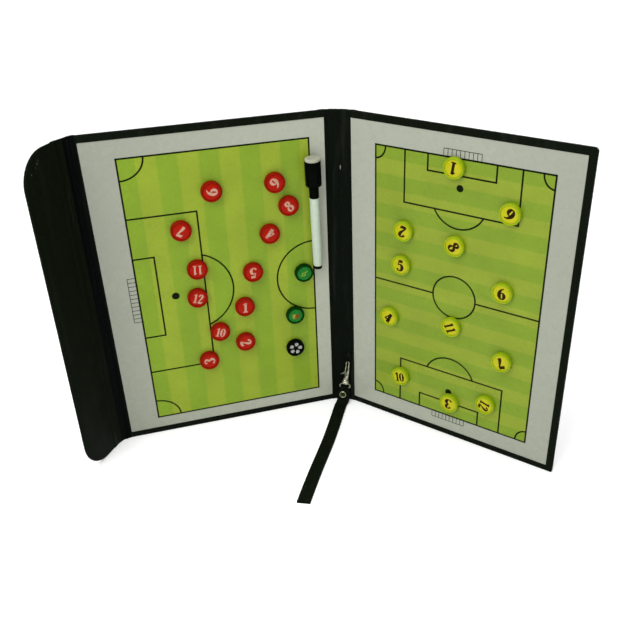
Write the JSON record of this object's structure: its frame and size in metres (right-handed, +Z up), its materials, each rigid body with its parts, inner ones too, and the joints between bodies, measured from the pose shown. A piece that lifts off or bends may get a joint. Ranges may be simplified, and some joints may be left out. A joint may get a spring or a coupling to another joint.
{
  "type": "tactics board",
  "caption": "Folding magnetic tactics board: two leatherette covers with printed pitches on a spine, a closing flap, numbered counters, a marker pen and a strap on a snap hook.",
  "frame": {"origin": "on the floor under the middle of the spine, between the two hinge lines", "axes": "+X to the right cover, -Y to the viewer inside the open board, +Z up along the spine"},
  "size_m": [0.4327, 0.1658, 0.3094],
  "materials": {
    "leatherette": "fine grain, satin",
    "board": "raw grey board",
    "steel_sheet": "zinc plated",
    "printed_sheet": "printed and laminated",
    "magnet": "dark ferrite",
    "plated_metal": "nickel plated",
    "white_plastic": "smooth",
    "black_plastic": "smooth",
    "felt": "dense felt",
    "eraser_felt": "dense felt",
    "red_counter": "raised glossy rim",
    "yellow_counter": "raised glossy rim",
    "green_counter": "raised glossy rim",
    "ball_counter": "raised glossy rim"
  },
  "bodies": {
    "spine": {"spine_skin": "leatherette", "spine_board": "board", "spine_lining": "leatherette", "hook_tab": "leatherette"},
    "left_cover": {"left_cover_skin": "leatherette", "left_cover_board": "board", "left_steel_sheet": "steel_sheet", "left_pitch_sheet": "printed_sheet"},
    "right_cover": {"right_cover_skin": "leatherette", "right_cover_board": "board", "right_steel_sheet": "steel_sheet", "right_pitch_sheet": "printed_sheet"},
    "gusset": {"gusset_strip": "leatherette"},
    "flap": {"flap_skin": "leatherette", "flap_board": "board", "flap_magnets": "magnet"},
    "snap_hook": {"snap_hook_body": "plated_metal", "lever_pin": "plated_metal", "lever_spring": "plated_metal"},
    "hook_lever": {"snap_hook_lever": "plated_metal"},
    "swivel": {"swivel_eye": "plated_metal", "wrist_strap": "leatherette", "strap_rivet": "plated_metal"},
    "pen": {"pen_end_plug": "black_plastic", "pen_barrel": "white_plastic", "pen_ink_reservoir": "felt", "pen_grip": "black_plastic", "pen_nib": "felt"},
    "pen_cap": {"pen_cap": "black_plastic", "pen_cap_magnet": "magnet", "pen_eraser": "eraser_felt"},
    "red_counter_01": {"red_counter_01": "red_counter"},
    "red_counter_02": {"red_counter_02": "red_counter"},
    "red_counter_03": {"red_counter_03": "red_counter"},
    "red_counter_04": {"red_counter_04": "red_counter"},
    "red_counter_05": {"red_counter_05": "red_counter"},
    "red_counter_06": {"red_counter_06": "red_counter"},
    "red_counter_07": {"red_counter_07": "red_counter"},
    "red_counter_08": {"red_counter_08": "red_counter"},
    "red_counter_09": {"red_counter_09": "red_counter"},
    "red_counter_10": {"red_counter_10": "red_counter"},
    "red_counter_11": {"red_counter_11": "red_counter"},
    "red_counter_12": {"red_counter_12": "red_counter"},
    "green_counter_01": {"green_counter_01": "green_counter"},
    "green_counter_02": {"green_counter_02": "green_counter"},
    "ball_counter_01": {"ball_counter_01": "ball_counter"},
    "yellow_counter_01": {"yellow_counter_01": "yellow_counter"},
    "yellow_counter_02": {"yellow_counter_02": "yellow_counter"},
    "yellow_counter_03": {"yellow_counter_03": "yellow_counter"},
    "yellow_counter_04": {"yellow_counter_04": "yellow_counter"},
    "yellow_counter_05": {"yellow_counter_05": "yellow_counter"},
    "yellow_counter_06": {"yellow_counter_06": "yellow_counter"},
    "yellow_counter_07": {"yellow_counter_07": "yellow_counter"},
    "yellow_counter_08": {"yellow_counter_08": "yellow_counter"},
    "yellow_counter_09": {"yellow_counter_09": "yellow_counter"},
    "yellow_counter_10": {"yellow_counter_10": "yellow_counter"},
    "yellow_counter_11": {"yellow_counter_11": "yellow_counter"},
    "yellow_counter_12": {"yellow_counter_12": "yellow_counter"}
  },
  "joints": [
    {"name": "left_fold", "type": "hinge", "parent": "spine", "child": "left_cover", "pos_m": [-0.01, 0, 0.155], "axis": [0, 0, -1], "range_deg": [-66.6, 25], "deforming": ["wrist_strap"]},
    {"name": "right_fold", "type": "hinge", "parent": "spine", "child": "right_cover", "pos_m": [0.01, 0, 0.155], "axis": [0, 0, 1], "range_deg": [-66.6, 25]},
    {"name": "gusset_fold", "type": "hinge", "parent": "left_cover", "child": "gusset", "pos_m": [-0.20821, -0.09243, 0.155], "axis": [0, 0, -1], "range_deg": [-34.8, 40.2]},
    {"name": "flap_fold", "type": "hinge", "parent": "gusset", "child": "flap", "pos_m": [-0.21358, -0.10405, 0.155], "axis": [0, 0, -1], "range_deg": [-87.8, 14]},
    {"name": "hook_swing", "type": "hinge", "parent": "spine", "child": "snap_hook", "pos_m": [0.0055, -0.006, 0.05065], "axis": [-1, 0, 0], "range_deg": [0, 65]},
    {"name": "lever_press", "type": "hinge", "parent": "snap_hook", "child": "hook_lever", "pos_m": [0.00254, -0.006, 0.03663], "axis": [0, 1, 0], "range_deg": [0, 10], "stiffness_Nm_per_rad": 0.02, "deforming": ["lever_spring"]},
    {"name": "eye_swivel", "type": "hinge", "parent": "snap_hook", "child": "swivel", "pos_m": [0.00299, -0.006, 0.02633], "axis": [0, 0, 1], "range_deg": [0, 40]},
    {"name": "pen_lift", "type": "slide", "parent": "left_cover", "child": "pen", "axis": [0.4226, -0.9063, 0], "range_m": [0, 0.015]},
    {"name": "cap_pull", "type": "slide", "parent": "pen", "child": "pen_cap", "axis": [-0.0055, -0.0419, 0.9991], "range_m": [0, 0.02]},
    {"name": "red_counter_01_lift", "type": "slide", "parent": "left_cover", "child": "red_counter_01", "axis": [0.4226, -0.9063, 0], "range_m": [0, 0.012]},
    {"name": "red_counter_02_lift", "type": "slide", "parent": "left_cover", "child": "red_counter_02", "axis": [0.4226, -0.9063, 0], "range_m": [0, 0.012]},
    {"name": "red_counter_03_lift", "type": "slide", "parent": "left_cover", "child": "red_counter_03", "axis": [0.4226, -0.9063, 0], "range_m": [0, 0.012]},
    {"name": "red_counter_04_lift", "type": "slide", "parent": "left_cover", "child": "red_counter_04", "axis": [0.4226, -0.9063, 0], "range_m": [0, 0.012]},
    {"name": "red_counter_05_lift", "type": "slide", "parent": "left_cover", "child": "red_counter_05", "axis": [0.4226, -0.9063, 0], "range_m": [0, 0.012]},
    {"name": "red_counter_06_lift", "type": "slide", "parent": "left_cover", "child": "red_counter_06", "axis": [0.4226, -0.9063, 0], "range_m": [0, 0.012]},
    {"name": "red_counter_07_lift", "type": "slide", "parent": "left_cover", "child": "red_counter_07", "axis": [0.4226, -0.9063, 0], "range_m": [0, 0.012]},
    {"name": "red_counter_08_lift", "type": "slide", "parent": "left_cover", "child": "red_counter_08", "axis": [0.4226, -0.9063, 0], "range_m": [0, 0.012]},
    {"name": "red_counter_09_lift", "type": "slide", "parent": "left_cover", "child": "red_counter_09", "axis": [0.4226, -0.9063, 0], "range_m": [0, 0.012]},
    {"name": "red_counter_10_lift", "type": "slide", "parent": "left_cover", "child": "red_counter_10", "axis": [0.4226, -0.9063, 0], "range_m": [0, 0.012]},
    {"name": "red_counter_11_lift", "type": "slide", "parent": "left_cover", "child": "red_counter_11", "axis": [0.4226, -0.9063, 0], "range_m": [0, 0.012]},
    {"name": "red_counter_12_lift", "type": "slide", "parent": "left_cover", "child": "red_counter_12", "axis": [0.4226, -0.9063, 0], "range_m": [0, 0.012]},
    {"name": "green_counter_01_lift", "type": "slide", "parent": "left_cover", "child": "green_counter_01", "axis": [0.4226, -0.9063, 0], "range_m": [0, 0.012]},
    {"name": "green_counter_02_lift", "type": "slide", "parent": "left_cover", "child": "green_counter_02", "axis": [0.4226, -0.9063, 0], "range_m": [0, 0.012]},
    {"name": "ball_counter_01_lift", "type": "slide", "parent": "left_cover", "child": "ball_counter_01", "axis": [0.4226, -0.9063, 0], "range_m": [0, 0.012]},
    {"name": "yellow_counter_01_lift", "type": "slide", "parent": "right_cover", "child": "yellow_counter_01", "axis": [-0.4226, -0.9063, 0], "range_m": [0, 0.012]},
    {"name": "yellow_counter_02_lift", "type": "slide", "parent": "right_cover", "child": "yellow_counter_02", "axis": [-0.4226, -0.9063, 0], "range_m": [0, 0.012]},
    {"name": "yellow_counter_03_lift", "type": "slide", "parent": "right_cover", "child": "yellow_counter_03", "axis": [-0.4226, -0.9063, 0], "range_m": [0, 0.012]},
    {"name": "yellow_counter_04_lift", "type": "slide", "parent": "right_cover", "child": "yellow_counter_04", "axis": [-0.4226, -0.9063, 0], "range_m": [0, 0.012]},
    {"name": "yellow_counter_05_lift", "type": "slide", "parent": "right_cover", "child": "yellow_counter_05", "axis": [-0.4226, -0.9063, 0], "range_m": [0, 0.012]},
    {"name": "yellow_counter_06_lift", "type": "slide", "parent": "right_cover", "child": "yellow_counter_06", "axis": [-0.4226, -0.9063, 0], "range_m": [0, 0.012]},
    {"name": "yellow_counter_07_lift", "type": "slide", "parent": "right_cover", "child": "yellow_counter_07", "axis": [-0.4226, -0.9063, 0], "range_m": [0, 0.012]},
    {"name": "yellow_counter_08_lift", "type": "slide", "parent": "right_cover", "child": "yellow_counter_08", "axis": [-0.4226, -0.9063, 0], "range_m": [0, 0.012]},
    {"name": "yellow_counter_09_lift", "type": "slide", "parent": "right_cover", "child": "yellow_counter_09", "axis": [-0.4226, -0.9063, 0], "range_m": [0, 0.012]},
    {"name": "yellow_counter_10_lift", "type": "slide", "parent": "right_cover", "child": "yellow_counter_10", "axis": [-0.4226, -0.9063, 0], "range_m": [0, 0.012]},
    {"name": "yellow_counter_11_lift", "type": "slide", "parent": "right_cover", "child": "yellow_counter_11", "axis": [-0.4226, -0.9063, 0], "range_m": [0, 0.012]},
    {"name": "yellow_counter_12_lift", "type": "slide", "parent": "right_cover", "child": "yellow_counter_12", "axis": [-0.4226, -0.9063, 0], "range_m": [0, 0.012]}
  ]
}
